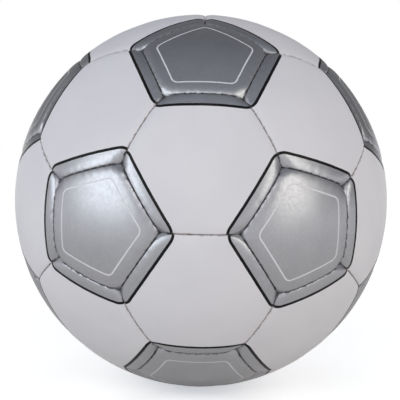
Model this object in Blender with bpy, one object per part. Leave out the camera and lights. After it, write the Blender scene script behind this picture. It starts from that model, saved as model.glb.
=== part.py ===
"""A sewn football of thirty-two panels, modelled piece by piece.

Twelve pentagon and twenty hexagon panels meet along the edges of a truncated
icosahedron that is blown out to a sphere. Each panel is a moulded shell. Its rim rolls
inwards and turns down into a seam allowance, so that two neighbours stand back to back
along their seam with the sewing thread between them. A bladder fills the inside, and
its needle valve comes out through one hexagon panel.

Lengths are in metres. The origin is the centre of the ball, +Z is up, and the -Y side
shows two hexagons, one above the other, with a pentagon on either hand.
"""

import math

import bmesh
import bpy
from mathutils import Matrix, Vector

# The ball, and the slit that is left between pieces that touch
BALL_RADIUS = 0.110
CLEARANCE = 0.0003

# Panel section: insets are measured from the seam, depths from the ball's outer sphere
PANEL_THICKNESS = 0.0036
LIP_INSET = 0.00042
ROLL_WIDTH = 0.0065
ROLL_DEPTH = 0.0021
ROLL_STEPS = 3
ALLOWANCE_INSET = 0.00065
ALLOWANCE_THICKNESS = 0.0015
ALLOWANCE_DEPTH = 0.0062
MIDDLE_RING_SHARE = 0.5

# Points along one side of a panel, and so along one seam
SEAM_STEPS = 3

# Sewing thread, lying between the two seam allowances
THREAD_DIAMETER = 0.0005
THREAD_DEPTH = 0.0044

# Bladder, with a flat seat for the valve
BLADDER_RADIUS = 0.1032
BLADDER_WALL = 0.0009
BLADDER_HOLE_RADIUS = 0.0049
BLADDER_ARC_STEPS = 12
BLADDER_STEPS = 24
SEAT_RADIUS = 0.016

# Valve: a rubber body through the bladder and the panel, and the core plugged into it
VALVE_AIM = (0.0, 1.0, 0.38)
PANEL_HOLE_RADIUS = 0.0034
NOSE_RADIUS = 0.0030
NOSE_SINK = 0.0008
NOSE_CHAMFER = 0.0002
SHOULDER_RADIUS = 0.0054
SHOULDER_SINK = 0.0042
NECK_RADIUS = 0.0045
FOOT_RADIUS = 0.012
FOOT_THICKNESS = 0.0012
STEM_RADIUS = 0.0041
STEM_LENGTH = 0.0046
CHAMBER_RADIUS = 0.0029
CHAMBER_TOP_SINK = 0.0072
CHAMBER_FLOOR = 0.0012
BORE_RADIUS = 0.0019
CORE_SINK = 0.0004
NEEDLE_HOLE_RADIUS = 0.0005
VALVE_STEPS = 20
CORE_STEPS = 16

# Reinforcing patch round the valve, on the outside of the bladder
PATCH_HOLE_RADIUS = 0.0050
PATCH_RADIUS = 0.015
PATCH_THICKNESS = 0.0008

# Smooth shading stops at edges sharper than this
SHARP_EDGE = math.radians(40)


def clear_scene():
    """Remove every object, so that the file holds the ball alone."""
    for old in list(bpy.data.objects):
        bpy.data.objects.remove(old, do_unlink=True)


def finish(name, colour, roughness, metallic=0.0):
    """Return a material with one colour and sheen."""
    material = bpy.data.materials.new(name)
    material.use_nodes = True
    shader = material.node_tree.nodes["Principled BSDF"]
    shader.inputs["Base Color"].default_value = (*colour, 1.0)
    shader.inputs["Roughness"].default_value = roughness
    shader.inputs["Metallic"].default_value = metallic
    return material


def add_piece(name, mesh, material, parent):
    """Link a named object that carries the mesh and hangs on the parent."""
    piece = bpy.data.objects.new(name, mesh)
    bpy.context.scene.collection.objects.link(piece)
    piece.parent = parent
    if not mesh.materials:
        mesh.materials.append(material)
    return piece


def add_empty(name, parent=None):
    """Link an empty that pieces can hang on."""
    empty = bpy.data.objects.new(name, None)
    bpy.context.scene.collection.objects.link(empty)
    empty.parent = parent
    return empty


def seam_solid():
    """Return the truncated icosahedron whose edges are the seams.

    An icosahedron with its two-fold axes on X, Y and Z has its twelve corners cut off
    a third of the way along each edge: every corner leaves a pentagon and every old
    face a hexagon.
    """
    golden = (1 + math.sqrt(5)) / 2
    solid = bmesh.new()
    for short in (-1, 1):
        for long in (-golden, golden):
            solid.verts.new((0, short, long))
            solid.verts.new((short, long, 0))
            solid.verts.new((long, 0, short))
    bmesh.ops.convex_hull(solid, input=solid.verts)
    bmesh.ops.bevel(
        solid,
        geom=solid.verts[:],
        offset=100 / 3,
        offset_type="PERCENT",
        segments=1,
        affect="VERTICES",
    )
    return solid


def panel_order(face):
    """Sort key that runs from the top of the ball down, and round it at each height."""
    middle = face.calc_center_median().normalized()
    return (-round(middle.z, 4), round(math.atan2(middle.y, middle.x), 4))


def panel_axes(face):
    """Return a panel's axes: Z out through its middle, X towards its first corner."""
    out = face.calc_center_median().normalized()
    corner = face.verts[0].co.normalized()
    across = (corner - out * corner.dot(out)).normalized()
    return Matrix((across, out.cross(across), out)).transposed()


def corner_reach(face):
    """Return the tangent of the angle from a panel's middle to its corners."""
    middle = face.calc_center_median()
    return math.tan(max(middle.angle(corner.co) for corner in face.verts))


def side_angle(sides, reach):
    """Return the angle from a panel's middle to the middle of a side."""
    return math.atan(reach * math.cos(math.pi / sides))


def outline(sides, reach):
    """Return a panel's seam line on the plane that touches the unit sphere."""
    corners = []
    for corner in range(sides):
        turn = math.tau * corner / sides
        corners.append(Vector((reach * math.cos(turn), reach * math.sin(turn))))
    points = []
    for corner in range(sides):
        following = corners[(corner + 1) % sides]
        for step in range(SEAM_STEPS):
            points.append(corners[corner].lerp(following, step / SEAM_STEPS))
    return points


def inset_shrink(edge_angle, inset):
    """Return how much a panel's outline shrinks to lie at an inset from its seam."""
    return math.tan(edge_angle - inset / BALL_RADIUS) / math.tan(edge_angle)


def ring_inset(sides, reach, inset, depth):
    """Return the ring of panel points at an inset from the seam and at a depth."""
    shrink = inset_shrink(side_angle(sides, reach), inset)
    crown = Vector((0, 0, BALL_RADIUS))
    ring = []
    for point in outline(sides, reach):
        ray = Vector((point.x * shrink, point.y * shrink, 1)).normalized()
        ring.append(ray * (BALL_RADIUS - depth) - crown)
    return ring


def ring_round(sides, reach, radius, depth):
    """Return a round ring of panel points about the panel's middle, at a depth."""
    height = math.sqrt((BALL_RADIUS - depth) ** 2 - radius**2) - BALL_RADIUS
    ring = []
    for point in outline(sides, reach):
        across = point.normalized() * radius
        ring.append(Vector((across.x, across.y, height)))
    return ring


def panel_rings(sides, reach):
    """Return the rings of a panel, from the middle over the rim and back inside.

    The rim is a quarter of an ellipse from the outer sphere down to the lip. Below the
    lip the seam allowance runs straight towards the centre of the ball.
    """
    middle = side_angle(sides, reach) * BALL_RADIUS * MIDDLE_RING_SHARE
    section = [(middle, 0.0)]
    for step in range(ROLL_STEPS + 1):
        turn = math.pi / 2 * step / ROLL_STEPS
        inset = LIP_INSET + ROLL_WIDTH * (1 - math.sin(turn))
        section.append((inset, ROLL_DEPTH * (1 - math.cos(turn))))
    back = ALLOWANCE_INSET + ALLOWANCE_THICKNESS
    section.append((ALLOWANCE_INSET, ALLOWANCE_DEPTH))
    section.append((back, ALLOWANCE_DEPTH))
    section.append((back + CLEARANCE, PANEL_THICKNESS))
    section.append((middle, PANEL_THICKNESS))
    return [ring_inset(sides, reach, inset, depth) for inset, depth in section]


def join_rings(bm, first, second):
    """Fill the band between two rings of vertices."""
    for here in range(len(first)):
        after = (here + 1) % len(first)
        bm.faces.new((first[here], second[here], second[after], first[after]))


def shell_mesh(name, rings, poles=()):
    """Return a closed mesh through the rings.

    With two poles the first and the last ring are closed to a point. Without them the
    last ring joins the first, which leaves a hole through the middle.
    """
    bm = bmesh.new()
    loops = [[bm.verts.new(point) for point in ring] for ring in rings]
    for first, second in zip(loops, loops[1:]):
        join_rings(bm, first, second)
    if poles:
        top, bottom = (bm.verts.new(point) for point in poles)
        for here in range(len(loops[0])):
            after = (here + 1) % len(loops[0])
            bm.faces.new((top, loops[0][here], loops[0][after]))
            bm.faces.new((bottom, loops[-1][after], loops[-1][here]))
    else:
        join_rings(bm, loops[-1], loops[0])
    mesh = bpy.data.meshes.new(name)
    bm.to_mesh(mesh)
    bm.free()
    mesh.shade_smooth()
    mesh.set_sharp_from_angle(angle=SHARP_EDGE)
    return mesh


def panel_mesh(name, sides, reach):
    """Return the mesh of a plain panel, with its outer middle at the origin."""
    poles = (Vector((0, 0, 0)), Vector((0, 0, -PANEL_THICKNESS)))
    return shell_mesh(name, panel_rings(sides, reach), poles)


def valve_panel_mesh(name, sides, reach):
    """Return the mesh of the panel that has the valve hole through its middle."""
    rings = panel_rings(sides, reach)
    rings.insert(0, ring_round(sides, reach, PANEL_HOLE_RADIUS, 0.0))
    rings.append(ring_round(sides, reach, PANEL_HOLE_RADIUS, PANEL_THICKNESS))
    return shell_mesh(name, rings)


def place_panel(piece, axes):
    """Turn a panel outwards and put its middle on the ball's outer sphere."""
    piece.location = axes.col[2] * BALL_RADIUS
    piece.rotation_euler = axes.to_euler()


def add_panels(solid, ball, finishes):
    """Add the pentagon and hexagon panels, one of which has the valve hole.

    Returns the axes of the valve panel.
    """
    aim = Vector(VALVE_AIM)
    faces = sorted(solid.faces, key=panel_order)
    pentagons = [face for face in faces if len(face.verts) == 5]
    hexagons = [face for face in faces if len(face.verts) == 6]
    valve_face = max(hexagons, key=lambda face: face.calc_center_median().dot(aim))
    hexagons.remove(valve_face)

    pentagon = panel_mesh("pentagon_panel", 5, corner_reach(pentagons[0]))
    for number, face in enumerate(pentagons, start=1):
        piece = add_piece(f"pentagon_panel_{number:02d}", pentagon, finishes["silver"], ball)
        place_panel(piece, panel_axes(face))

    reach = corner_reach(valve_face)
    hexagon = panel_mesh("hexagon_panel", 6, reach)
    for number, face in enumerate(hexagons, start=1):
        piece = add_piece(f"hexagon_panel_{number:02d}", hexagon, finishes["white"], ball)
        place_panel(piece, panel_axes(face))

    holed = valve_panel_mesh("valve_panel", 6, reach)
    valve_axes = panel_axes(valve_face)
    place_panel(add_piece("valve_panel", holed, finishes["white"], ball), valve_axes)
    return valve_axes


def thread_side(corner, out, shrink, radius):
    """Return the thread's point beside a seam corner, on the side of one panel."""
    touching = corner / corner.dot(out)
    return (out + (touching - out) * shrink).normalized() * radius


def add_seam_thread(solid, ball, material):
    """Add the thread as one net that follows every seam between the allowances.

    A strand is square and stands on its edge: it has a point above and one below the
    seam line, and one towards the panel on either hand.
    """
    bmesh.ops.subdivide_edges(solid, edges=solid.edges[:], cuts=SEAM_STEPS - 1)
    half = THREAD_DIAMETER / 2
    radius = BALL_RADIUS - THREAD_DEPTH
    bm = bmesh.new()
    above = {corner: bm.verts.new(corner.co.normalized() * (radius + half)) for corner in solid.verts}
    below = {corner: bm.verts.new(corner.co.normalized() * (radius - half)) for corner in solid.verts}
    for face in solid.faces:
        sides = len(face.verts) // SEAM_STEPS
        out = face.calc_center_median().normalized()
        shrink = inset_shrink(side_angle(sides, corner_reach(face)), half)
        beside = [bm.verts.new(thread_side(corner.co, out, shrink, radius)) for corner in face.verts]
        for here, corner in enumerate(face.verts):
            after = (here + 1) % len(face.verts)
            following = face.verts[after]
            bm.faces.new((above[corner], above[following], beside[after], beside[here]))
            bm.faces.new((beside[here], beside[after], below[following], below[corner]))
    mesh = bpy.data.meshes.new("seam_thread")
    bm.to_mesh(mesh)
    bm.free()
    mesh.shade_smooth()
    add_piece("seam_thread", mesh, material, ball)


def add_turned(name, profile, closed, steps, material, parent):
    """Add a piece turned about Z from a profile of (radius, height) points.

    The profile runs up the inside and down the outside. A closed one joins its last
    point to its first. An open one starts and ends on the axis.
    """
    count = len(profile)
    edges = [(point, point + 1) for point in range(count - 1)]
    if closed:
        edges.append((count - 1, 0))
    mesh = bpy.data.meshes.new(name)
    mesh.from_pydata([(radius, 0, height) for radius, height in profile], edges, [])
    piece = add_piece(name, mesh, material, parent)
    turn = piece.modifiers.new("turn", "SCREW")
    turn.steps = steps
    turn.render_steps = steps
    turn.use_merge_vertices = True
    turn.merge_threshold = 0.00001
    turn.use_smooth_shade = True
    return piece


def seat_height():
    """Return the height of the bladder's flat valve seat above the ball's centre."""
    return math.sqrt(BLADDER_RADIUS**2 - SEAT_RADIUS**2)


def bladder_arc(radius, seat):
    """Return the section of a sphere from the valve hole, over the seat, to the far pole."""
    start = math.acos(seat / radius)
    points = [(BLADDER_HOLE_RADIUS, seat)]
    for step in range(BLADDER_ARC_STEPS + 1):
        turn = start + (math.pi - start) * step / BLADDER_ARC_STEPS
        points.append((radius * math.sin(turn), radius * math.cos(turn)))
    return points


def add_bladder(valve_axis, material):
    """Add the air bladder: a thin rubber sphere, open and flattened at the valve."""
    seat = seat_height()
    outside = bladder_arc(BLADDER_RADIUS, seat)
    inside = bladder_arc(BLADDER_RADIUS - BLADDER_WALL, seat - BLADDER_WALL)
    profile = inside[::-1] + outside
    add_turned("bladder", profile, False, BLADDER_STEPS, material, valve_axis)


def add_valve_patch(valve_axis, material):
    """Add the rubber washer that stiffens the bladder round its valve."""
    low = seat_height() + CLEARANCE
    high = low + PATCH_THICKNESS
    profile = [
        (PATCH_HOLE_RADIUS, low),
        (PATCH_HOLE_RADIUS, high),
        (PATCH_RADIUS, high),
        (PATCH_RADIUS, low),
    ]
    add_turned("valve_patch", profile, True, BLADDER_STEPS, material, valve_axis)


def chamber_heights():
    """Return the floor and the top of the chamber inside the valve body."""
    bottom = seat_height() - BLADDER_WALL - CLEARANCE - FOOT_THICKNESS - STEM_LENGTH
    return bottom + CHAMBER_FLOOR, BALL_RADIUS - CHAMBER_TOP_SINK


def add_valve_body(valve_axis, material):
    """Add the valve body: foot in the bladder, shoulder under the panel, nose in its hole."""
    top = BALL_RADIUS - NOSE_SINK
    shoulder_top = BALL_RADIUS - SHOULDER_SINK
    shoulder_low = seat_height() + PATCH_THICKNESS + 2 * CLEARANCE
    foot_top = seat_height() - BLADDER_WALL - CLEARANCE
    foot_low = foot_top - FOOT_THICKNESS
    bottom = foot_low - STEM_LENGTH
    chamber_floor, chamber_top = chamber_heights()
    profile = [
        (BORE_RADIUS, bottom),
        (BORE_RADIUS, chamber_floor),
        (CHAMBER_RADIUS, chamber_floor),
        (CHAMBER_RADIUS, chamber_top),
        (BORE_RADIUS, chamber_top),
        (BORE_RADIUS, top),
        (NOSE_RADIUS - NOSE_CHAMFER, top),
        (NOSE_RADIUS, top - NOSE_CHAMFER),
        (NOSE_RADIUS, shoulder_top),
        (SHOULDER_RADIUS, shoulder_top),
        (SHOULDER_RADIUS, shoulder_low),
        (NECK_RADIUS, shoulder_low),
        (NECK_RADIUS, foot_top),
        (FOOT_RADIUS, foot_top),
        (FOOT_RADIUS, foot_low),
        (STEM_RADIUS, foot_low),
        (STEM_RADIUS, bottom),
    ]
    add_turned("valve_body", profile, True, VALVE_STEPS, material, valve_axis)


def add_valve_core(valve_axis, material):
    """Add the core: a soft plug whose bulb fills the chamber, with the needle's way through."""
    chamber_floor, chamber_top = chamber_heights()
    low = chamber_floor + CLEARANCE
    bulb_top = chamber_top - CLEARANCE
    top = BALL_RADIUS - NOSE_SINK - CORE_SINK
    bulb_radius = CHAMBER_RADIUS - CLEARANCE
    plug_radius = BORE_RADIUS - CLEARANCE
    profile = [
        (NEEDLE_HOLE_RADIUS, low),
        (NEEDLE_HOLE_RADIUS, top),
        (plug_radius, top),
        (plug_radius, bulb_top),
        (bulb_radius, bulb_top),
        (bulb_radius, low + plug_radius),
        (plug_radius, low),
    ]
    add_turned("valve_core", profile, True, CORE_STEPS, material, valve_axis)


def main():
    """Build the ball from the cover inwards."""
    clear_scene()
    finishes = {
        "white": finish("white_cover", (0.62, 0.62, 0.65), 0.42),
        "silver": finish("silver_cover", (0.42, 0.42, 0.43), 0.36, 0.85),
        "thread": finish("waxed_thread", (0.05, 0.05, 0.055), 0.7),
        "bladder": finish("bladder_rubber", (0.03, 0.03, 0.032), 0.6),
        "valve": finish("valve_rubber", (0.09, 0.09, 0.095), 0.55),
        "core": finish("core_rubber", (0.045, 0.045, 0.05), 0.5),
    }
    ball = add_empty("ball_centre")
    solid = seam_solid()
    valve_axes = add_panels(solid, ball, finishes)
    add_seam_thread(solid, ball, finishes["thread"])
    solid.free()
    valve_axis = add_empty("valve_axis", ball)
    valve_axis.rotation_euler = valve_axes.to_euler()
    add_bladder(valve_axis, finishes["bladder"])
    add_valve_patch(valve_axis, finishes["bladder"])
    add_valve_body(valve_axis, finishes["valve"])
    add_valve_core(valve_axis, finishes["core"])


main()
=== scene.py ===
"""Looks of a sewn football: printed cover panels, seam thread, bladder and needle valve.

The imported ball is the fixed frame. Each cover panel is modelled again as a fine closed shell, on
the direction and the radius of its own node, with rolled rims, stitch puckers and the print carried
as point attributes. The valve gets a finer turned body and core. Thread, bladder and patch keep
their solids.

Lengths are in metres unless a name ends in _mm, and angles in radians unless it ends in _deg.
"""

import logging
import math
from dataclasses import dataclass, field
from enum import Enum
from typing import Sequence, Union

import bpy
import numpy as np
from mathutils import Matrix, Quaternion, Vector


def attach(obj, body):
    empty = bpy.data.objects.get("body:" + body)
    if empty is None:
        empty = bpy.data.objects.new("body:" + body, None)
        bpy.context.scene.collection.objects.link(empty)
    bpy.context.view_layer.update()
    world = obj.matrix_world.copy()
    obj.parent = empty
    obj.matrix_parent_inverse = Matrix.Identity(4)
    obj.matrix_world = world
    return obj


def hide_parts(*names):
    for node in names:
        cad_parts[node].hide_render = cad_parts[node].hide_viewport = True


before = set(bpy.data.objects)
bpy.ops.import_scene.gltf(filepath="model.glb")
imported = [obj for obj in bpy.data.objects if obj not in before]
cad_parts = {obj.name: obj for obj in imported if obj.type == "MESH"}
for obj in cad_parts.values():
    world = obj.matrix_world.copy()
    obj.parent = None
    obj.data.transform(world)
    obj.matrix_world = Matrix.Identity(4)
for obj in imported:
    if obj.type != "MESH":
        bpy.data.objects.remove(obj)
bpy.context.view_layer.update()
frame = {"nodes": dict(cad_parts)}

LOG = logging.getLogger("football")
BODY = "root"
MM = 0.001

Piece = bpy.types.Object
Material = bpy.types.Material
Socket = bpy.types.NodeSocket
Feed = Union[Socket, float, Sequence[float]]
Colour = tuple[float, float, float]
Triple = tuple[float, float, float]
Span = tuple[float, float]
Profile = list[Span]
Rings = list[np.ndarray]
Faces = list[tuple[int, ...]]

# Noise has its middle here, and most of its values in this span
NOISE_MIDDLE = 0.5
NOISE_SPAN: Span = (0.3, 0.7)

# Places of a Mix node's numbers and colours among its inputs, and of its colour among the outputs
MIX_NUMBERS = (2, 3)
MIX_COLOURS = (6, 7)
MIX_COLOUR_RESULT = 2


class Slot(Enum):
    """Names for material slots of the pieces that take the place of a node; nothing in this script
    uses them.
    """

    WHITE = "white_cover"
    SILVER = "silver_cover"
    VALVE = "valve_rubber"
    CORE = "core_rubber"


class Cut(Enum):
    """The two shapes that cover panels are cut to, by their number of sides."""

    PENTAGON = 5
    HEXAGON = 6


class NodeGraph:
    """Short ways to add nodes to one shader tree."""

    def __init__(self, tree: bpy.types.NodeTree) -> None:
        """Take over an empty tree.

        Args:
            tree: Node tree of a material or a world.
        """
        self.tree = tree
        tree.nodes.clear()

    def node(self, kind: str, **settings: object) -> bpy.types.Node:
        """Add one node.

        Args:
            kind: Blender's type name of the node.
            settings: Properties to set on it.

        Returns:
            The new node.
        """
        made = self.tree.nodes.new(kind)
        for name, value in settings.items():
            setattr(made, name, value)
        return made

    def feed(self, socket: Socket, value: Feed) -> None:
        """Link a socket to another socket, or set its own value.

        Args:
            socket: Input to fill.
            value: Output socket to link, or a plain value.
        """
        if isinstance(value, Socket):
            self.tree.links.new(value, socket)
        else:
            socket.default_value = value

    def math(self, operation: str, *values: Feed) -> Socket:
        """Add a Math node.

        Args:
            operation: Name of the operation.
            values: Its operands, in order.

        Returns:
            The result.
        """
        made = self.node("ShaderNodeMath", operation=operation)
        for socket, value in zip(made.inputs, values):
            self.feed(socket, value)
        return made.outputs[0]

    def between(self, value: Feed, low: float, high: float, start: float = 0.0,
                end: float = 1.0, smooth: bool = True) -> Socket:
        """Map a value from one range to another, held at both ends.

        Args:
            value: Value to map.
            low: Where the result is start.
            high: Where the result is end.
            start: Result at low.
            end: Result at high.
            smooth: Whether the way between eases in and out.

        Returns:
            The mapped value.
        """
        way = "SMOOTHSTEP" if smooth else "LINEAR"
        made = self.node("ShaderNodeMapRange", interpolation_type=way)
        self.feed(made.inputs["Value"], value)
        ends = {"From Min": low, "From Max": high, "To Min": start, "To Max": end}
        for name, number in ends.items():
            made.inputs[name].default_value = number
        return made.outputs["Result"]

    def mix(self, share: Feed, first: Feed, second: Feed) -> Socket:
        """Mix two colours.

        Args:
            share: Share of the second colour.
            first: Colour at share 0.
            second: Colour at share 1.

        Returns:
            The mixed colour.
        """
        made = self.node("ShaderNodeMix", data_type="RGBA")
        self.feed(made.inputs[0], share)
        for index, value in zip(MIX_COLOURS, (first, second)):
            linked = isinstance(value, Socket)
            self.feed(made.inputs[index], value if linked else (*value, 1.0))
        return made.outputs[MIX_COLOUR_RESULT]

    def blend(self, share: Feed, first: Feed, second: Feed) -> Socket:
        """Mix two numbers.

        Args:
            share: Share of the second number.
            first: Number at share 0.
            second: Number at share 1.

        Returns:
            The mixed number.
        """
        made = self.node("ShaderNodeMix", data_type="FLOAT")
        self.feed(made.inputs[0], share)
        for index, value in zip(MIX_NUMBERS, (first, second)):
            self.feed(made.inputs[index], value)
        return made.outputs[0]

    def rest(self, share: Feed) -> Socket:
        """Return what is left of 1 beside a share."""
        return self.math("SUBTRACT", 1.0, share)

    def place(self) -> Socket:
        """Return the place on the ball, in metres from its centre."""
        return self.node("ShaderNodeTexCoord").outputs["Object"]

    def attribute(self, name: str) -> Socket:
        """Return a point attribute of the mesh as a number."""
        return self.node("ShaderNodeAttribute", attribute_name=name).outputs["Fac"]

    def noise(self, where: Feed, size: float, detail: float = 2.0, seed: Feed = 0.0,
              rough: float = 0.5) -> Socket:
        """Add noise with blotches of a real size.

        Args:
            where: Place in metres.
            size: Width of a blotch in metres.
            detail: Octaves of finer noise.
            seed: Fourth coordinate, which gives each panel noise of its own.
            rough: Weight of the finer octaves.

        Returns:
            Noise around 0.5.
        """
        made = self.node("ShaderNodeTexNoise", noise_dimensions="4D")
        self.feed(made.inputs["Vector"], where)
        self.feed(made.inputs["W"], seed)
        made.inputs["Scale"].default_value = 1.0 / size
        made.inputs["Detail"].default_value = detail
        made.inputs["Roughness"].default_value = rough
        return made.outputs[0]

    def wander(self, where: Feed, size: float, reach: float, seed: Feed = 0.0) -> Socket:
        """Add noise that strays to both sides of 0.

        Args:
            where: Place in metres.
            size: Width of a blotch in metres.
            reach: Length that a full swing of the noise stands for.
            seed: Fourth coordinate of the noise.

        Returns:
            The stray.
        """
        noise = self.noise(where, size, seed=seed)
        return self.math("MULTIPLY", self.math("SUBTRACT", noise, NOISE_MIDDLE), reach)

    def bump(self, height: Feed, depth: float, strength: float,
             normal: Union[Socket, None] = None) -> Socket:
        """Add a bump.

        Args:
            height: Height from 0 to 1.
            depth: Real height of 1, in metres.
            strength: Weight of the bump.
            normal: Normal to start from, if another bump lies under this one.

        Returns:
            The bumped normal.
        """
        made = self.node("ShaderNodeBump")
        made.inputs["Strength"].default_value = strength
        made.inputs["Distance"].default_value = depth
        self.feed(made.inputs["Height"], height)
        if normal is not None:
            self.feed(made.inputs["Normal"], normal)
        return made.outputs["Normal"]

    def surface(self, **inputs: Feed) -> None:
        """Add the Principled shader and the output.

        Args:
            inputs: Shader inputs by name, with _ for a space.
        """
        shader = self.node("ShaderNodeBsdfPrincipled")
        for name, value in inputs.items():
            self.feed(shader.inputs[name.replace("_", " ")], value)
        output = self.node("ShaderNodeOutputMaterial")
        self.tree.links.new(shader.outputs[0], output.inputs["Surface"])


class SkinGraph(NodeGraph):
    """Shader tree of a panel's skin, which reads what the panel stores at its vertices."""

    def __init__(self, tree: bpy.types.NodeTree) -> None:
        """Take over a tree and read the panel.

        Args:
            tree: Node tree of the skin's material.
        """
        super().__init__(tree)
        self.where = self.place()
        self.seed = self.attribute("panel_seed")
        self.seam = self.attribute("seam_mm")
        self.slack = self.attribute("stitch_slack")
        self.line = self.attribute("print_mm")

    def own_noise(self, size: float, detail: float = 2.0, rough: float = 0.5) -> Socket:
        """Return noise that differs from panel to panel."""
        return self.noise(self.where, size, detail, self.seed, rough)


def new_material(name: str, kind: type[NodeGraph] = NodeGraph) -> tuple[Material, NodeGraph]:
    """Make an empty node material.

    Args:
        name: Name of the material.
        kind: Class of its graph.

    Returns:
        The material and its graph.
    """
    material = bpy.data.materials.new(name)
    material.use_nodes = True
    return material, kind(material.node_tree)


@dataclass(frozen=True)
class CoverFinish:
    """Synthetic leather of the cover: white, with silver figures printed on it in a black keyline.

    Sizes are the widths of noise blotches. A span is what a mask eases over, and another pair is
    what a value goes from and to.
    """

    white_low: Colour = (0.632, 0.622, 0.674)
    white_high: Colour = (0.664, 0.653, 0.703)
    cloud_size: float = 35.0 * MM
    scuff: Colour = (0.50, 0.49, 0.50)
    scuff_share: float = 0.35
    streak_size: float = 6.0 * MM
    streak_stretch: Triple = (1.0, 1.0, 7.0)
    streak_turn: Triple = (0.5, 0.9, 0.3)
    streak_span: Span = (0.60, 0.74)
    rub_size: float = 22.0 * MM
    rub_span: Span = (0.52, 0.68)
    silver_low: Colour = (0.362, 0.364, 0.398)
    silver_high: Colour = (0.412, 0.414, 0.448)
    flake_size: float = 1.1 * MM
    flake_share: float = 0.6
    mottle_size: float = 14.0 * MM
    mottle_share: float = 0.4
    ink: Colour = (0.003, 0.003, 0.004)
    worn_ink: Colour = (0.022, 0.014, 0.015)
    wear_size: float = 20.0 * MM
    wear_span: Span = (0.5, 0.72)
    # Seam line colours: partly real dirt, partly painted shade of the crease. Nearly black on the
    # silver, brownish on the white.
    silver_dirt_and_shade: Colour = (0.030, 0.029, 0.032)
    white_dirt_and_shade: Colour = (0.34, 0.29, 0.28)
    dirt_and_shade_mm: float = 0.90
    dirt_and_shade_size: float = 1.8 * MM
    dirt_and_shade_wander_mm: float = 2.0
    slack_span: Span = (0.1, 0.6)
    dirt_and_shade_shares: Span = (0.50, 0.85)
    keyline_mm: float = 1.70
    pinstripe_mm: float = 0.8
    edge_blur_mm: float = 0.12
    edge_size: float = 3.0 * MM
    edge_wander_mm: float = 0.30
    silver_metal: float = 0.92
    silver_rough: Span = (0.29, 0.41)
    white_rough: Span = (0.40, 0.50)
    rough_size: float = 1.3 * MM
    ink_rough: float = 0.42
    sheen_level: float = 0.15
    dent_size: float = 6.0 * MM
    dent_depth: float = 0.22 * MM
    dent_weight: float = 0.8
    dent_span_mm: Span = (2.0, 10.0)
    dent_far: float = 0.2
    grain_size: float = 1.2 * MM
    grain_depth: float = 0.03 * MM
    grain_weight: float = 0.5

    def white(self, skin: SkinGraph) -> Socket:
        """Colour of the white skin: faint clouds and a few rubbed streaks.

        Args:
            skin: Graph to add to.

        Returns:
            The colour.
        """
        cloud = skin.own_noise(self.cloud_size, detail=3.0)
        clean = skin.mix(skin.between(cloud, *NOISE_SPAN), self.white_low, self.white_high)
        stretch = skin.node("ShaderNodeMapping")
        skin.feed(stretch.inputs["Vector"], skin.where)
        stretch.inputs["Scale"].default_value = self.streak_stretch
        stretch.inputs["Rotation"].default_value = self.streak_turn
        drawn = stretch.outputs["Vector"]
        streak = skin.noise(drawn, self.streak_size, detail=4.0, seed=skin.seed, rough=0.65)
        patch = skin.own_noise(self.rub_size, detail=1.0)
        rubbed = skin.math("MULTIPLY", skin.between(streak, *self.streak_span),
                           skin.between(patch, *self.rub_span))
        return skin.mix(skin.math("MULTIPLY", rubbed, self.scuff_share), clean, self.scuff)

    def silver(self, skin: SkinGraph) -> Socket:
        """Colour of the silver print: pressed flakes under soft mottling.

        Args:
            skin: Graph to add to.

        Returns:
            The colour.
        """
        flake = skin.own_noise(self.flake_size, rough=0.6)
        mottle = skin.own_noise(self.mottle_size, detail=3.0)
        shade = skin.math("ADD", skin.math("MULTIPLY", flake, self.flake_share),
                          skin.math("MULTIPLY", mottle, self.mottle_share))
        return skin.mix(skin.between(shade, *NOISE_SPAN), self.silver_low, self.silver_high)

    def black(self, skin: SkinGraph) -> Socket:
        """Colour of the black ink, rubbed paler in places."""
        worn = skin.between(skin.own_noise(self.wear_size), *self.wear_span)
        return skin.mix(worn, self.ink, self.worn_ink)

    def stroke(self, skin: SkinGraph, line: Feed, width_mm: float) -> Socket:
        """Mask of a line of some width.

        Args:
            skin: Graph to add to.
            line: Distance from the line's middle, in millimetres.
            width_mm: Width of the line.

        Returns:
            1 on the line and 0 off it.
        """
        half, blur = width_mm / 2, self.edge_blur_mm
        return skin.between(skin.math("ABSOLUTE", line), half - blur, half + blur, 1.0, 0.0)

    def masks(self, skin: SkinGraph, cut: Cut) -> tuple[Feed, Feed]:
        """Where a panel is white, and where it is black.

        A hexagon is silver inside the print line and white outside it, with the keyline along it. A
        pentagon is silver, with a white pinstripe along the line.

        Args:
            skin: Graph to add to.
            cut: Shape of the panel.

        Returns:
            The mask of the white skin and the mask of the ink.
        """
        stray = skin.wander(skin.where, self.edge_size, self.edge_wander_mm, skin.seed)
        line = skin.math("ADD", skin.line, stray)
        if cut is Cut.PENTAGON:
            return self.stroke(skin, line, self.pinstripe_mm), 0.0
        blur = self.edge_blur_mm
        return skin.between(line, -blur, blur), self.stroke(skin, line, self.keyline_mm)

    def dirt_and_shade(self, skin: SkinGraph) -> Socket:
        """Mask of the seam line, partly real dirt and partly painted shade of the crease. It is
        ragged, and darker between the stitches and at the corners, where the seam gapes.

        Args:
            skin: Graph to add to.

        Returns:
            Share of the painted shade and dirt.
        """
        dash = skin.between(skin.slack, *self.slack_span, *self.dirt_and_shade_shares)
        ragged = skin.wander(skin.where, self.dirt_and_shade_size, self.dirt_and_shade_wander_mm)
        near = skin.between(skin.math("ADD", skin.seam, ragged), 0.0, self.dirt_and_shade_mm, 1.0, 0.0)
        return skin.math("MULTIPLY", near, dash)

    def roughness(self, skin: SkinGraph, bare: Feed, is_ink: Feed) -> Socket:
        """Roughness of the skin and its print.

        Args:
            skin: Graph to add to.
            bare: Mask of the silver.
            is_ink: Mask of the ink.

        Returns:
            The roughness.
        """
        fine = skin.own_noise(self.rough_size)
        silver = skin.between(fine, *NOISE_SPAN, *self.silver_rough, smooth=False)
        white = skin.between(fine, *NOISE_SPAN, *self.white_rough, smooth=False)
        return skin.blend(is_ink, skin.blend(bare, white, silver), self.ink_rough)

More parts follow.
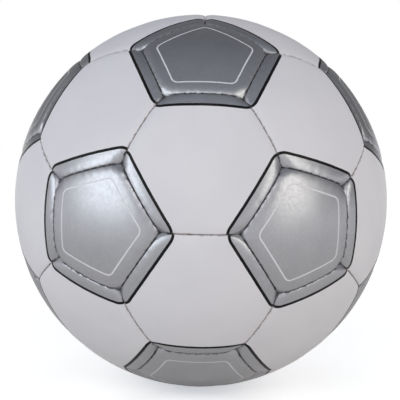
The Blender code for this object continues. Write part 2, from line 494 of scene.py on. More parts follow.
    def relief(self, skin: SkinGraph) -> Socket:
        """Normal of the skin: shallow dents, most of them beside the seams, and a fine grain.

        Args:
            skin: Graph to add to.

        Returns:
            The normal.
        """
        beside = skin.between(skin.seam, *self.dent_span_mm, 1.0, self.dent_far)
        dents = skin.math("MULTIPLY", skin.own_noise(self.dent_size), beside)
        dented = skin.bump(dents, self.dent_depth, self.dent_weight)
        grain = skin.own_noise(self.grain_size, rough=0.55)
        return skin.bump(grain, self.grain_depth, self.grain_weight, dented)

    def material(self, name: str, cut: Cut) -> Material:
        """Make the material of one cut of panel.

        Args:
            name: Name of the material.
            cut: Shape of the panel.

        Returns:
            The material.
        """
        material, skin = new_material(name, SkinGraph)
        is_white, is_ink = self.masks(skin, cut)
        leather = skin.mix(is_white, self.silver(skin), self.white(skin))
        printed = skin.mix(is_ink, leather, self.black(skin))
        # Painted shade, partly real dirt: along the crease the colour darkens and the silver loses
        # its metal.
        dirt_and_shade = self.dirt_and_shade(skin)
        seam_dirt_and_shade = skin.mix(is_white, self.silver_dirt_and_shade, self.white_dirt_and_shade)
        bare = skin.math("MULTIPLY", skin.rest(is_white), skin.rest(is_ink))
        metal_outside_dirt_and_shade = skin.math("MULTIPLY", skin.rest(dirt_and_shade), self.silver_metal)
        skin.surface(
            Base_Color=skin.mix(dirt_and_shade, printed, seam_dirt_and_shade),
            Metallic=skin.math("MULTIPLY", bare, metal_outside_dirt_and_shade),
            Roughness=self.roughness(skin, bare, is_ink),
            Normal=self.relief(skin),
            Specular_IOR_Level=self.sheen_level,
        )
        return material


@dataclass(frozen=True)
class RubberFinish:
    """Moulded rubber with a powdery bloom."""

    name: str
    colour: Colour
    bloom: Colour
    rough: Span
    dust_size: float = 4.0 * MM
    dust_span: Span = (0.45, 0.75)
    pore_size: float = 0.4 * MM
    pore_depth: float = 0.02 * MM
    pore_weight: float = 0.5

    def material(self) -> Material:
        """Make the rubber material."""
        material, graph = new_material(self.name)
        where = graph.place()
        dust = graph.noise(where, self.dust_size, detail=4.0, rough=0.6)
        pore = graph.noise(where, self.pore_size)
        graph.surface(
            Base_Color=graph.mix(graph.between(dust, *self.dust_span), self.colour, self.bloom),
            Roughness=graph.between(dust, *NOISE_SPAN, *self.rough, smooth=False),
            Normal=graph.bump(pore, self.pore_depth, self.pore_weight),
        )
        return material


@dataclass(frozen=True)
class ThreadFinish:
    """Waxed sewing thread, twisted from strands."""

    colour: Colour = (0.035, 0.034, 0.037)
    wax: Colour = (0.11, 0.105, 0.10)
    wax_size: float = 3.0 * MM
    wax_span: Span = (0.45, 0.7)
    rough: Span = (0.55, 0.8)
    twist_pitch: float = 0.8 * MM
    twist_stray: float = 1.5
    twist_depth: float = 0.08 * MM
    twist_weight: float = 0.7

    def material(self) -> Material:
        """Make the thread material."""
        material, graph = new_material("waxed_thread")
        where = graph.place()
        twist = graph.node("ShaderNodeTexWave", wave_type="BANDS", bands_direction="DIAGONAL")
        graph.feed(twist.inputs["Vector"], where)
        twist.inputs["Scale"].default_value = 1.0 / (self.twist_pitch * math.tau)
        twist.inputs["Distortion"].default_value = self.twist_stray
        blot = graph.noise(where, self.wax_size, detail=3.0)
        graph.surface(
            Base_Color=graph.mix(graph.between(blot, *self.wax_span), self.colour, self.wax),
            Roughness=graph.between(blot, *NOISE_SPAN, *self.rough, smooth=False),
            Normal=graph.bump(twist.outputs["Fac"], self.twist_depth, self.twist_weight),
        )
        return material


def add_mesh(name: str, points: np.ndarray, faces: Faces, material: Material) -> Piece:
    """Link a smooth mesh object.

    Args:
        name: Name of the object and its mesh.
        points: Vertices in metres, one row each.
        faces: Vertex numbers of each face.
        material: Its material.

    Returns:
        The new object.
    """
    mesh = bpy.data.meshes.new(name)
    mesh.from_pydata(points.tolist(), [], faces)
    mesh.shade_smooth()
    mesh.materials.append(material)
    piece = bpy.data.objects.new(name, mesh)
    bpy.context.scene.collection.objects.link(piece)
    return piece


def set_points(piece: Piece, name: str, values: np.ndarray) -> None:
    """Store one number for each vertex.

    Args:
        piece: Mesh object.
        name: Name of the attribute.
        values: One number for each vertex.
    """
    store = piece.data.attributes.new(name, "FLOAT", "POINT")
    store.data.foreach_set("value", values.astype(np.float32))


def settle(piece: Piece, node: str) -> None:
    """Let a piece ride on the ball in place of a node, and report it.

    Args:
        piece: The finished piece.
        node: Node that it stands for.
    """
    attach(piece, BODY)
    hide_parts(node)
    LOG.info("%s: %d faces in place of %s", piece.name, len(piece.data.polygons), node)


def bands(rings: int, width: int, closed: bool) -> Faces:
    """Faces between neighbouring rings of vertices.

    Args:
        rings: Number of rings, numbered one after another.
        width: Vertices in a ring.
        closed: Whether the last ring joins the first.

    Returns:
        The quads, facing out where rings run from the middle over the rim.
    """
    faces: Faces = []
    for ring in range(rings if closed else rings - 1):
        first, second = ring * width, (ring + 1) % rings * width
        for here in range(width):
            after = (here + 1) % width
            faces.append((first + here, second + here, second + after, first + after))
    return faces


def node_points(node: str) -> np.ndarray:
    """Vertices of a node of the frame, one row each."""
    return np.array([tuple(vertex.co) for vertex in frame["nodes"][node].data.vertices])


def unit(vectors: np.ndarray) -> np.ndarray:
    """Scale each row to a length of 1."""
    return vectors / np.linalg.norm(vectors, axis=-1, keepdims=True)


@dataclass(frozen=True)
class SeamSection:
    """Cross section of a panel beside its seam, and the pull of the stitches on it.

    At a corner the pillow is deeper by corner_sink times its depth. Past the lip the skin falls by
    pit_slope. The stitches of a seam differ in their pull, by the factors that tightness spans.
    """

    pillow_width: float = 5.4 * MM
    pillow_depth: float = 0.7 * MM
    lip_width: float = 0.8 * MM
    lip_depth: float = 0.45 * MM
    lip_inset: float = 0.08 * MM
    corner_ease: float = 2.0 * MM
    # Ease of the stored seam distance, which the painted seam shade and dirt read. It is small, so
    # the painted shade stays a thin line at the corners.
    dirt_and_shade_ease: float = 0.5 * MM
    corner_sink: float = 1.7
    sink_power: int = 4
    pit_slope: float = 0.6
    stitches: int = 8
    tightness: Span = (0.35, 1.3)
    stitch_pull: float = 0.32 * MM
    stitch_reach: float = 2.0 * MM
    stitch_gape: float = 0.16 * MM
    gape_reach: float = 1.1 * MM
    wall_inset: float = 0.50 * MM
    wall_depth: float = 5.8 * MM
    wall_start: float = 0.8
    wall_thickness: float = 1.6 * MM
    wall_spread: float = 0.3 * MM
    thickness: float = 3.6 * MM

    def depth(self, inset: np.ndarray, along: np.ndarray) -> np.ndarray:
        """Depth of the skin below the outer sphere.

        Args:
            inset: Distance from the seam.
            along: Share of the way along the seam.

        Returns:
            Depth, on a broad pillow that turns down over a small lip and sinks to the corners.
        """
        past_lip = np.maximum(inset - self.lip_inset, 0.0)
        pillow = np.clip(1.0 - past_lip / self.pillow_width, 0.0, 1.0)
        lip = np.clip(1.0 - past_lip / self.lip_width, 0.0, 1.0)
        sink = 1.0 + self.corner_sink * np.abs(2.0 * (along % 1.0) - 1.0) ** self.sink_power
        pit = self.pit_slope * np.maximum(self.lip_inset - inset, 0.0)
        rolled = self.lip_depth * (1.0 - np.sqrt(1.0 - lip**2))
        return self.pillow_depth * sink * pillow**2 + rolled + pit

    def slack(self, along: np.ndarray) -> np.ndarray:
        """How loose the seam is between stitches.

        Args:
            along: Share of the way along the seam.

        Returns:
            0 at a stitch, and 1 half way between two and at the corners.
        """
        return 0.5 + 0.5 * np.cos(math.tau * self.stitches * along)


@dataclass(frozen=True)
class PrintPlan:
    """Where the print lines run: a figure past each pentagon's seam, and a pinstripe inside it.

    The drift is how far the print of a panel is typically off its place.
    """

    figure_overlap: float = 7.5 * MM
    figure_corner: float = 8.0 * MM
    stripe_inset: float = 8.0 * MM
    stripe_corner: float = 4.0 * MM
    drift: float = 0.35 * MM

    def line(self, cut: Cut) -> tuple[float, float]:
        """How far outside a pentagon's seam the line on a cut runs, and its corner radius."""
        if cut is Cut.HEXAGON:
            return self.figure_overlap, self.figure_corner
        return -self.stripe_inset, self.stripe_corner


@dataclass(frozen=True)
class PanelFrame:
    """Place of one panel.

    The axes are rows, the first towards a corner and the last through the middle. The reach is how
    far the corners lie from the middle on the plane.
    """

    cut: Cut
    axes: np.ndarray
    reach: float

    @property
    def side_angle(self) -> float:
        """Angle from the middle of the panel to the middle of a side."""
        return math.atan(self.reach * math.cos(math.pi / self.cut.value))


@dataclass
class CoverPanel:
    """One panel of the cover, built as a fine closed shell.

    Points are first laid out on the plane that touches the unit sphere at the panel's middle, in
    rings that follow the seam and get round towards the middle. The rim of a hole is given as shares
    of its roll's width, and depths.
    """

    node: str
    frame: PanelFrame
    figures: list[PanelFrame]
    radius: float
    seed: int
    section: SeamSection
    plan: PrintPlan
    hole_radius: float = 0.0
    side_steps: int = 32
    lip_rings: int = 6
    crown_step: float = 0.45 * MM
    crown_growth: float = 1.18
    middle: float = 1.1 * MM
    round_from: float = 0.85
    round_to: float = 0.35
    inner_ring: float = 0.5
    hole_roll: float = 0.9 * MM
    hole_rim: tuple[Span, ...] = ((0.0, 0.9 * MM), (0.3, 0.28 * MM), (0.7, 0.05 * MM), (1.0, 0.0))
    seed_step: float = 1.7

    def outline(self) -> np.ndarray:
        """The seam line on the plane."""
        count = self.frame.cut.value
        turns = math.tau * np.arange(count + 1) / count
        corners = self.frame.reach * np.stack([np.cos(turns), np.sin(turns)], axis=1)
        share = (np.arange(self.side_steps) / self.side_steps)[None, :, None]
        sides = corners[:-1, None] * (1 - share) + corners[1:, None] * share
        return sides.reshape(-1, 2)

    def insets(self) -> list[float]:
        """Distances of the skin's rings from the seam, from the middle outwards."""
        section = self.section
        turns = [math.pi / 2 * step / self.lip_rings for step in range(self.lip_rings + 1)]
        rings = [section.lip_inset + section.lip_width * (1 - math.sin(turn)) for turn in turns]
        middle = max(self.hole_radius + self.hole_roll, self.middle)
        last = self.frame.side_angle * self.radius - middle
        inset, step = rings[0] + self.crown_step, self.crown_step
        while inset < last - step:
            rings.insert(0, inset)
            step *= self.crown_growth
            inset += step
        return rings

    def ring(self, inset: float) -> np.ndarray:
        """Plane points of one ring, rounder the nearer it is to the middle.

        Args:
            inset: Distance from the seam.

        Returns:
            One row for each point of the outline.
        """
        side_angle = self.frame.side_angle
        angle = side_angle - inset / self.radius
        share = angle / side_angle
        ease = min(max((self.round_from - share) / (self.round_from - self.round_to), 0.0), 1.0)
        shape = self.outline() / math.tan(side_angle)
        return (shape * (1 - ease) + unit(shape) * ease) * math.tan(angle)

    def seams(self, plane: np.ndarray, ease: float) -> tuple[np.ndarray, np.ndarray]:
        """Where points lie against the panel's seams.

        Args:
            plane: Plane points, one row each.
            ease: How far the distance is eased round the corners.

        Returns:
            Distance from the seams, eased round the corners, and number of sides passed on the way
            round plus the share of the way along the nearest one.
        """
        count, side_angle = self.frame.cut.value, self.frame.side_angle
        turns = math.tau * (np.arange(count) + 0.5) / count
        flat = np.stack([np.cos(turns), np.sin(turns), np.zeros(count)], axis=1)
        up = np.array([0.0, 0.0, 1.0])
        inwards = up * math.sin(side_angle) - flat * math.cos(side_angle)
        middles = up * math.cos(side_angle) + flat * math.sin(side_angle)
        onwards = np.cross(up, flat)
        rays = unit(np.column_stack([plane, np.ones(len(plane))]))
        away = self.radius * np.arcsin(np.clip(rays @ inwards.T, -1.0, 1.0))
        eased = -ease * np.log(np.exp(-away / ease).sum(axis=1))
        nearest = away.argmin(axis=1)
        rows = np.arange(len(plane))
        turn = np.arctan2((rays @ onwards.T)[rows, nearest], (rays @ middles.T)[rows, nearest])
        half_side = math.atan(self.frame.reach * math.sin(math.pi / count) * math.cos(side_angle))
        return eased, nearest + np.clip(0.5 + 0.5 * turn / half_side, 0.0, 1.0)

    def place(self, plane: np.ndarray, depth: Union[float, np.ndarray]) -> np.ndarray:
        """Put plane points on the ball.

        Args:
            plane: Plane points, one row each.
            depth: Depth below the outer sphere.

        Returns:
            Points in the frame.
        """
        return self.rays(plane) * np.reshape(self.radius - np.asarray(depth), (-1, 1))

    def rays(self, plane: np.ndarray) -> np.ndarray:
        """Directions of plane points from the ball's centre."""
        return unit(np.column_stack([plane, np.ones(len(plane))])) @ self.frame.axes

    def skin(self) -> tuple[Rings, Rings]:
        """The outer skin, from the middle or the valve hole to the lip of the seam.

        Returns:
            Its rings as plane points, and their depths.
        """
        section = self.section
        count = self.frame.cut.value * section.stitches
        tightness = np.random.default_rng(self.seed).uniform(*section.tightness, count + 1)
        planes, depths = [], []
        for inset in self.insets():
            plane = self.ring(inset)
            _, along = self.seams(plane, section.corner_ease)
            slack = section.slack(along)
            gape = section.stitch_gape * slack * math.exp(-inset / section.gape_reach)
            plane = plane * (1.0 - gape / (self.radius * math.tan(self.frame.side_angle)))[:, None]
            eased, along = self.seams(plane, section.corner_ease)
            tight = tightness[(along * section.stitches).astype(int)]
            pull = section.stitch_pull * tight * (1.0 - section.slack(along))
            fade = np.exp(-np.maximum(eased, 0.0) / (section.stitch_reach * np.sqrt(tight)))
            planes.append(plane)
            depths.append(section.depth(eased, along) + pull * fade)
        return planes, depths

    def shell(self) -> tuple[Rings, Rings]:
        """The whole panel: the skin, the turned-in allowance and the inside.

        Returns:
            Its rings as plane points, and their depths.
        """
        section = self.section
        planes, depths = self.skin()
        back = section.wall_inset + section.wall_thickness
        inside = [
            (section.wall_inset, section.wall_start * section.wall_depth),
            (section.wall_inset, section.wall_depth),
            (back, section.wall_depth),
            (back + section.wall_spread, section.thickness),
            (self.inner_ring * self.frame.side_angle * self.radius, section.thickness),
        ]
        for inset, depth in inside:
            planes.append(self.ring(inset))
            depths.append(np.full(len(planes[0]), depth))
        if self.hole_radius:
            self.pierce(planes, depths)
        return planes, depths

    def pierce(self, planes: Rings, depths: Rings) -> None:
        """Add the rings of the valve hole, with a rolled rim outside and a plain one inside.

        Args:
            planes: Rings of the panel as plane points.
            depths: Their depths.
        """
        spoke = unit(self.outline()) / self.radius
        for share, sunk in reversed(self.hole_rim):
            planes.insert(0, spoke * (self.hole_radius + share * self.hole_roll))
            depths.insert(0, np.full(len(spoke), sunk))
        planes.append(spoke * self.hole_radius)
        depths.append(np.full(len(spoke), self.section.thickness))

    def close(self, planes: Rings, points: Rings, faces: Faces) -> None:
        """Close the middle of a panel that has no hole, outside and inside.

        Args:
            planes: Rings of the panel as plane points.
            points: The same rings on the ball.
            faces: Faces between them.
        """
        width = len(planes[0])
        heights = np.array([[self.radius], [self.radius - self.section.thickness]])
        top = width * len(points)
        last = top - width
        planes.append(np.zeros((2, 2)))
        points.append(self.frame.axes[2] * heights)
        for here in range(width):
            after = (here + 1) % width
            faces.append((top, here, after))
            faces.append((top + 1, last + after, last + here))

    def mark(self, piece: Piece, plane: np.ndarray) -> None:
        """Store what the finish reads at each vertex.

        Args:
            piece: The panel.
            plane: Its vertices as plane points, one row each.
        """
        away, along = self.seams(plane, self.section.dirt_and_shade_ease)
        set_points(piece, "seam_mm", away / MM)
        set_points(piece, "stitch_slack", self.section.slack(along))
        set_points(piece, "print_mm", self.print_distance(plane) / MM)
        set_points(piece, "panel_seed", np.full(len(plane), self.seed_step * self.seed))

    def build(self, material: Material) -> Piece:
        """Build the panel.

        Args:
            material: Material of its cover.

        Returns:
            The panel, in place on the ball.
        """
        planes, depths = self.shell()
        points = [self.place(plane, depth) for plane, depth in zip(planes, depths)]
        faces = bands(len(points), len(planes[0]), bool(self.hole_radius))
        if not self.hole_radius:
            self.close(planes, points, faces)
        piece = add_mesh(f"{self.node}_cover", np.concatenate(points), faces, material)
        self.mark(piece, np.concatenate(planes))
        return piece

    def print_distance(self, plane: np.ndarray) -> np.ndarray:
        """Distance of points from the nearest print line, negative inside it.

        Args:
            plane: Plane points, one row each.

        Returns:
            Distance on the ball, in metres.
        """
        out, corner = self.plan.line(self.frame.cut)
        drift = np.random.default_rng(self.seed).normal(0.0, self.plan.drift / self.radius, 2)
        rays = self.rays(plane + drift)
        lines = []
        for figure in self.figures:
            angle = figure.side_angle + out / self.radius
            sector = math.tau / figure.cut.value
            core = self.radius * math.tan(angle) - corner
            across, aside, ahead = (rays @ figure.axes.T).T
            far = self.radius * np.hypot(across, aside) / ahead
            turn = np.arctan2(aside, across) % sector - sector / 2
            over = far * np.cos(turn) - core
            beside = far * np.abs(np.sin(turn)) - core * math.tan(sector / 2)
            rounded = np.hypot(np.maximum(over, 0.0), np.maximum(beside, 0.0))
            distance = np.where((over > 0) & (beside > 0), rounded, over) - corner
            lines.append(distance * math.cos(angle) ** 2)
        return np.min(lines, axis=0)


@dataclass
class Cover:
    """The thirty-two panels of the cover."""

    finish: CoverFinish = field(default_factory=CoverFinish)
    section: SeamSection = field(default_factory=SeamSection)
    plan: PrintPlan = field(default_factory=PrintPlan)
    valve_node: str = "valve_panel"
    valve_hole_radius: float = 3.4 * MM
    pentagon_prefix: str = "pentagon"
    seed: int = 11

    def nodes(self) -> list[str]:
        """Names of the panel nodes, in order."""
        names = frame["nodes"]
        return sorted(name for name in names if name.endswith("panel") or "_panel_" in name)

    def cut_of(self, name: str) -> Cut:
        """Shape of the panel of a node."""
        return Cut.PENTAGON if name.startswith(self.pentagon_prefix) else Cut.HEXAGON

    def directions(self) -> dict[str, np.ndarray]:
        """Direction from the ball's centre to the middle of each panel."""
        return {name: unit(node_points(name).mean(axis=0)) for name in self.nodes()}

    def radius(self) -> float:
        """Radius of the outer sphere, which the middles of the panels touch."""
        reaches = [np.linalg.norm(node_points(name), axis=1).max() for name in self.nodes()]
        return float(max(reaches))

    def panel_frame(self, out: np.ndarray, pentagons: np.ndarray, cut: Cut) -> PanelFrame:
        """Find the axes of a panel from its middle and one corner.

        A corner lies a third of the way from one pentagon's middle to the next one's.

        Args:
            out: Direction of the panel's middle.
            pentagons: Directions of all pentagon panels, one row each.
            cut: Shape of the panel.

        Returns:
            The panel's place.
        """
        near = pentagons[np.argsort(-(pentagons @ out))]
        corner = unit(2 * near[0] + near[1])
        across = unit(corner - out * (corner @ out))
        axes = np.array([across, np.cross(out, across), out])
        return PanelFrame(cut, axes, math.tan(math.acos(float(corner @ out))))

    def build(self) -> list[Piece]:
        """Build every panel and set it on the ball.

        Returns:
            The panels.
        """
        materials = {
            Cut.HEXAGON: self.finish.material("printed_white_cover", Cut.HEXAGON),
            Cut.PENTAGON: self.finish.material("printed_silver_cover", Cut.PENTAGON),
        }
        figures_near = {Cut.HEXAGON: 3, Cut.PENTAGON: 1}
        directions = self.directions()
        cuts = {name: self.cut_of(name) for name in directions}
        middles = [directions[name] for name, cut in cuts.items() if cut is Cut.PENTAGON]
        pentagons = np.array(middles)
        figures = [self.panel_frame(out, pentagons, Cut.PENTAGON) for out in pentagons]
        radius = self.radius()
        pieces = []
        for number, (name, out) in enumerate(directions.items()):
            cut = cuts[name]
            near = np.argsort(-(pentagons @ out))[:figures_near[cut]]
            panel = CoverPanel(
                node=name,
                frame=self.panel_frame(out, pentagons, cut),
                figures=[figures[index] for index in near],
                radius=radius,
                seed=self.seed + number,
                section=self.section,
                plan=self.plan,
                hole_radius=self.valve_hole_radius if name == self.valve_node else 0.0,
            )
            piece = panel.build(materials[cut])
            settle(piece, name)
            pieces.append(piece)
        return pieces


@dataclass
class Valve:
    """The needle valve: a moulded body through the panel and the soft core in it."""

    panel: str = "valve_panel"
    steps: int = 64
    nose_radius: float = 3.0 * MM
    bore_radius: float = 1.9 * MM
    ring_radius: float = 2.45 * MM
    ring_width: float = 0.22 * MM
    ring_depth: float = 0.16 * MM
    shoulder_radius: float = 5.4 * MM
    shoulder_sink: float = 3.4 * MM
    neck_radius: float = 4.5 * MM
    patch_gap: float = 0.3 * MM
    foot_gap: float = 1.5 * MM
    foot_radius: float = 12.0 * MM
    foot_thickness: float = 1.2 * MM
    tube_radius: float = 4.1 * MM
    mouth_drop: float = 0.1 * MM
    core_radius: float = 1.6 * MM
    dish_depth: float = 0.35 * MM
    dish_step: Span = (0.55, 0.4)
    needle_radius: float = 0.42 * MM
    ease: float = 0.25 * MM
    ease_share: float = 0.45
    ease_steps: int = 4
    rubber: RubberFinish = RubberFinish("valve_rubber", (0.018, 0.018, 0.019), (0.05, 0.05, 0.05),
                                        (0.42, 0.57))
    soft: RubberFinish = RubberFinish("core_rubber", (0.011, 0.011, 0.012), (0.035, 0.035, 0.035),
                                      (0.5, 0.65))

    def axis(self) -> np.ndarray:
        """Direction of the valve, through the middle of its panel."""
        return unit(node_points(self.panel).mean(axis=0))

    def heights(self, node: str) -> tuple[float, float]:
        """Lowest and highest point of a node along the valve's axis."""
        along = node_points(node) @ self.axis()
        return float(along.min()), float(along.max())

    def eased(self, profile: Profile) -> Profile:
        """Round the corners of a closed profile.

        Args:
            profile: Corners as (radius, height).

        Returns:
            The profile with a small arc in place of each corner.
        """
        rounded: Profile = []
        count = len(profile)
        for here in range(count):
            near = [profile[(here + step) % count] for step in (-1, 0, 1)]
            before, corner, after = np.array(near)
            short = min(np.linalg.norm(before - corner), np.linalg.norm(after - corner))
            cut = min(self.ease, self.ease_share * short)
            start = corner + unit(before - corner) * cut
            end = corner + unit(after - corner) * cut
            for step in range(self.ease_steps + 1):
                share = step / self.ease_steps
                halfway = corner * 2 * share * (1 - share)
                point = start * (1 - share) ** 2 + halfway + end * share**2
                rounded.append((float(point[0]), float(point[1])))
        return rounded

    def turned(self, name: str, profile: Profile, material: Material) -> Piece:
        """Turn a closed profile about the valve's axis.

        Args:
            name: Name of the piece.
            profile: Points as (radius, height), up the inside and down the outside.
            material: Its material.

        Returns:
            The turned piece.
        """
        out = self.axis()
        across = unit(np.cross(out, np.array([1.0, 0.0, 0.0])))
        beside = np.cross(out, across)
        turns = math.tau * np.arange(self.steps) / self.steps
        spokes = np.cos(turns)[:, None] * across + np.sin(turns)[:, None] * beside
        rings = [spokes * radius + out * height for radius, height in profile]
        return add_mesh(name, np.concatenate(rings), bands(len(rings), self.steps, True), material)

    def build_body(self, material: Material) -> Piece:
        """Build the body, with a moulded ring round its mouth."""
        low, top = self.heights("valve_body")
        patch_low, patch_top = self.heights("valve_patch")
        shoulder = top - self.shoulder_sink
        shoulder_low = patch_top + self.patch_gap
        foot_top = patch_low - self.foot_gap
        foot_low = foot_top - self.foot_thickness
        profile = [
            (self.bore_radius, low),
            (self.bore_radius, top - self.mouth_drop),
            (self.ring_radius - self.ring_width, top),
            (self.ring_radius, top - self.ring_depth),
            (self.ring_radius + self.ring_width, top),
            (self.nose_radius, top),
            (self.nose_radius, shoulder),
            (self.shoulder_radius, shoulder),
            (self.shoulder_radius, shoulder_low),
            (self.neck_radius, shoulder_low),
            (self.neck_radius, foot_top),
            (self.foot_radius, foot_top),
            (self.foot_radius, foot_low),
            (self.tube_radius, foot_low),
            (self.tube_radius, low),
        ]
        return self.turned("valve_body_moulding", self.eased(profile), material)

    def build_core(self, material: Material) -> Piece:
        """Build the core, dished towards the needle's hole."""
        low, top = self.heights("valve_core")
        profile = [
            (self.needle_radius, low),
            (self.needle_radius, top - self.dish_depth),
            (self.dish_step[0] * self.core_radius, top - self.dish_step[1] * self.dish_depth),
            (self.core_radius, top),
            (self.core_radius, low),
        ]
        return self.turned("valve_core_plug", self.eased(profile), material)

    def build(self) -> None:
        """Build the body and the core and set them in the panel."""
        settle(self.build_body(self.rubber.material()), "valve_body")
        settle(self.build_core(self.soft.material()), "valve_core")


@dataclass
class Lining:
    """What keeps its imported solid: the thread in the seams, and the bladder with its patch."""

    thread: ThreadFinish = field(default_factory=ThreadFinish)
    rubber: RubberFinish = RubberFinish("bladder_rubber", (0.02, 0.02, 0.021), (0.06, 0.06, 0.058),
                                        (0.55, 0.70))

    def build(self) -> None:
        """Give the solids their finishes."""
        rubber = self.rubber.material()
        thread = self.thread.material()
        finishes = {"seam_thread": thread, "bladder": rubber, "valve_patch": rubber}
        for node, material in finishes.items():
            mesh = frame["nodes"][node].data
            mesh.materials.clear()
            mesh.materials.append(material)
            LOG.info("%s: keeps its solid, finished as %s", node, material.name)


@dataclass(frozen=True)
class Softbox:
    """One area lamp that looks at the ball."""

    name: str
    direction: Triple
    distance: float
    width: float
    height: float
    radiance: float
    colour: Colour = (1.0, 1.0, 1.0)

    def build(self) -> None:
        """Hang the lamp."""
        lamp = bpy.data.lights.new(self.name, "AREA")
        lamp.shape = "RECTANGLE"
        lamp.size = self.width
        lamp.size_y = self.height
        lamp.energy = self.radiance * math.pi * self.width * self.height
        lamp.color = self.colour
        holder = bpy.data.objects.new(self.name, lamp)
        bpy.context.scene.collection.objects.link(holder)
        out = Vector(self.direction).normalized()
        holder.location = out * self.distance
        holder.rotation_mode = "QUATERNION"
        holder.rotation_quaternion = out.to_track_quat("Z", "Y")


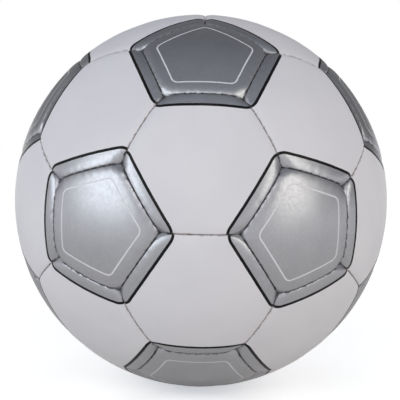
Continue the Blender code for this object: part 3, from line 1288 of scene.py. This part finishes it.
@dataclass
class Studio:
    """Floor, room light, lamps and camera.

    The room's levels are what is seen of it, straight or in the gloss, and its light is what falls
    on the ball. Both change with the direction, over the spans.
    """

    elevation_deg: float = 9.65
    roll_deg: float = 1.35
    distance: float = 1.045
    image_width: float = 400.0
    sensor_width_mm: float = 36.0
    focal_px: float = 1757.0
    frame_shift_px: tuple[float, float] = (-0.9, 0.6)
    floor_size: float = 60.0
    floor_colour: Colour = (0.87, 0.84, 0.79)
    floor_lift: float = 0.50
    lift_colour: Colour = (0.96, 1.0, 1.07)
    lift_in_metal: float = 0.20
    fibre_size: float = 2.0 * MM
    fibre_shade: float = 0.985
    shade_span: Span = (0.25, 1.0)
    ceiling_span: Span = (0.50, 0.88)
    ceiling_levels: Span = (1.0, 0.47)
    ceiling_light: Span = (1.18, 0.58)
    ceiling_colour: Colour = (0.75, 0.80, 0.87)
    wall_colour: Colour = (0.80, 0.80, 0.80)
    back_span: Span = (0.0, 0.8)
    back_levels: Span = (1.0, 0.30)
    back_light: Span = (0.68, 1.0)
    right_span: Span = (0.3, 0.9)
    right_levels: Span = (1.0, 0.55)
    lamps: tuple[Softbox, ...] = (
        Softbox("left_softbox", (-0.82, -0.51, 0.26), distance=1.5, width=1.0, height=0.9,
                radiance=2.1, colour=(0.89, 0.975, 1.0)),
        Softbox("right_softbox", (0.78, -0.53, 0.31), distance=1.5, width=0.65, height=1.0,
                radiance=2.25, colour=(1.0, 0.965, 0.85)),
        Softbox("front_softbox", (-0.05, -0.82, 0.55), distance=1.7, width=1.1, height=0.5,
                radiance=2.6, colour=(1.0, 0.985, 0.965)),
    )

    def background(self, graph: NodeGraph) -> Socket:
        """1 for rays that see the white background, and 0 for those that only gather light."""
        path = graph.node("ShaderNodeLightPath").outputs
        seen = graph.math("MAXIMUM", path["Is Camera Ray"], path["Is Glossy Ray"])
        return graph.math("MAXIMUM", seen, path["Is Transmission Ray"])

    def build_room(self) -> None:
        """Light the room: pale walls, dimmer at the back and the right, under a dim cool ceiling."""
        world = bpy.data.worlds.new("studio_room")
        bpy.context.scene.world = world
        world.use_nodes = True
        graph = NodeGraph(world.node_tree)
        way = graph.node("ShaderNodeSeparateXYZ")
        graph.feed(way.inputs[0], graph.node("ShaderNodeTexCoord").outputs["Generated"])
        high = graph.between(way.outputs["Z"], *self.ceiling_span)
        behind = graph.between(way.outputs["Y"], *self.back_span)
        right = graph.between(way.outputs["X"], *self.right_span, *self.right_levels)
        walls = graph.math("MULTIPLY", graph.blend(behind, *self.back_levels), right)
        level = graph.math("MULTIPLY", walls, graph.blend(high, *self.ceiling_levels))
        ceiling = graph.blend(high, *self.ceiling_light)
        light = graph.math("MULTIPLY", graph.blend(behind, *self.back_light), ceiling)
        strength = graph.blend(self.background(graph), light, level)
        shader = graph.node("ShaderNodeBackground")
        graph.feed(shader.inputs["Strength"], strength)
        graph.feed(shader.inputs["Color"], graph.mix(high, self.wall_colour, self.ceiling_colour))
        output = graph.node("ShaderNodeOutputWorld")
        graph.tree.links.new(shader.outputs[0], output.inputs["Surface"])

    def floor_material(self) -> Material:
        """Pale floor that shows the ball's shadow and is plain white further out."""
        material, graph = new_material("pale_floor")
        where = graph.place()
        away = graph.node("ShaderNodeVectorMath", operation="LENGTH")
        graph.feed(away.inputs[0], where)
        far = graph.between(away.outputs["Value"], *self.shade_span)
        fibre = graph.between(graph.noise(where, self.fibre_size, detail=3.0), *NOISE_SPAN)
        shaded = tuple(self.fibre_shade * part for part in self.floor_colour)
        pale = graph.mix(fibre, shaded, self.floor_colour)
        matt = graph.node("ShaderNodeBsdfDiffuse")
        graph.feed(matt.inputs["Color"], pale)
        seen = self.background(graph)
        lift = graph.node("ShaderNodeEmission")
        graph.feed(lift.inputs["Color"], (*self.lift_colour, 1.0))
        direct = graph.node("ShaderNodeLightPath").outputs["Is Camera Ray"]
        share = graph.math("MAXIMUM", direct, graph.math("MULTIPLY", seen, self.lift_in_metal))
        graph.feed(lift.inputs["Strength"], graph.math("MULTIPLY", share, self.floor_lift))
        near = graph.node("ShaderNodeAddShader")
        graph.tree.links.new(matt.outputs[0], near.inputs[0])
        graph.tree.links.new(lift.outputs[0], near.inputs[1])
        white = graph.node("ShaderNodeEmission")
        both = graph.node("ShaderNodeMixShader")
        graph.feed(both.inputs[0], graph.math("MULTIPLY", far, seen))
        graph.tree.links.new(near.outputs[0], both.inputs[1])
        graph.tree.links.new(white.outputs[0], both.inputs[2])
        output = graph.node("ShaderNodeOutputMaterial")
        graph.tree.links.new(both.outputs[0], output.inputs["Surface"])
        return material

    def build_floor(self, level: float) -> None:
        """Lay the floor under the ball.

        Args:
            level: Height of the floor.
        """
        half = self.floor_size / 2
        corners = np.array([(-half, -half, 0), (half, -half, 0), (half, half, 0), (-half, half, 0)])
        floor = add_mesh("floor", corners, [(0, 1, 2, 3)], self.floor_material())
        floor.location.z = level

    def build_camera(self) -> None:
        """Set up the camera at the photograph's angle."""
        camera = bpy.data.cameras.new("camera")
        camera.sensor_width = self.sensor_width_mm
        camera.lens = self.focal_px * camera.sensor_width / self.image_width
        camera.shift_x = self.frame_shift_px[0] / self.image_width
        camera.shift_y = self.frame_shift_px[1] / self.image_width
        camera.clip_end = 2 * self.floor_size
        holder = bpy.data.objects.new("camera", camera)
        bpy.context.scene.collection.objects.link(holder)
        rise = math.radians(self.elevation_deg)
        out = Vector((0.0, -math.cos(rise), math.sin(rise)))
        holder.location = out * self.distance
        holder.rotation_mode = "QUATERNION"
        roll = Quaternion((0.0, 0.0, 1.0), math.radians(self.roll_deg))
        holder.rotation_quaternion = out.to_track_quat("Z", "Y") @ roll
        bpy.context.scene.camera = holder

    def build(self, level: float) -> None:
        """Build the studio round the ball.

        Args:
            level: Height of the floor.
        """
        self.build_room()
        self.build_floor(level)
        for lamp in self.lamps:
            lamp.build()
        self.build_camera()
        bpy.context.scene.view_settings.view_transform = "Standard"


def lowest(pieces: Sequence[Piece]) -> float:
    """Height of the lowest point of some pieces."""
    return min(float(vertex.co.z) for piece in pieces for vertex in piece.data.vertices)


def main() -> None:
    """Build the ball from the cover inwards, then the studio."""
    logging.basicConfig(level=logging.INFO, format="%(name)s: %(message)s")
    panels = Cover().build()
    Valve().build()
    Lining().build()
    Studio().build(lowest(panels))


if __name__ == "__main__":
    main()
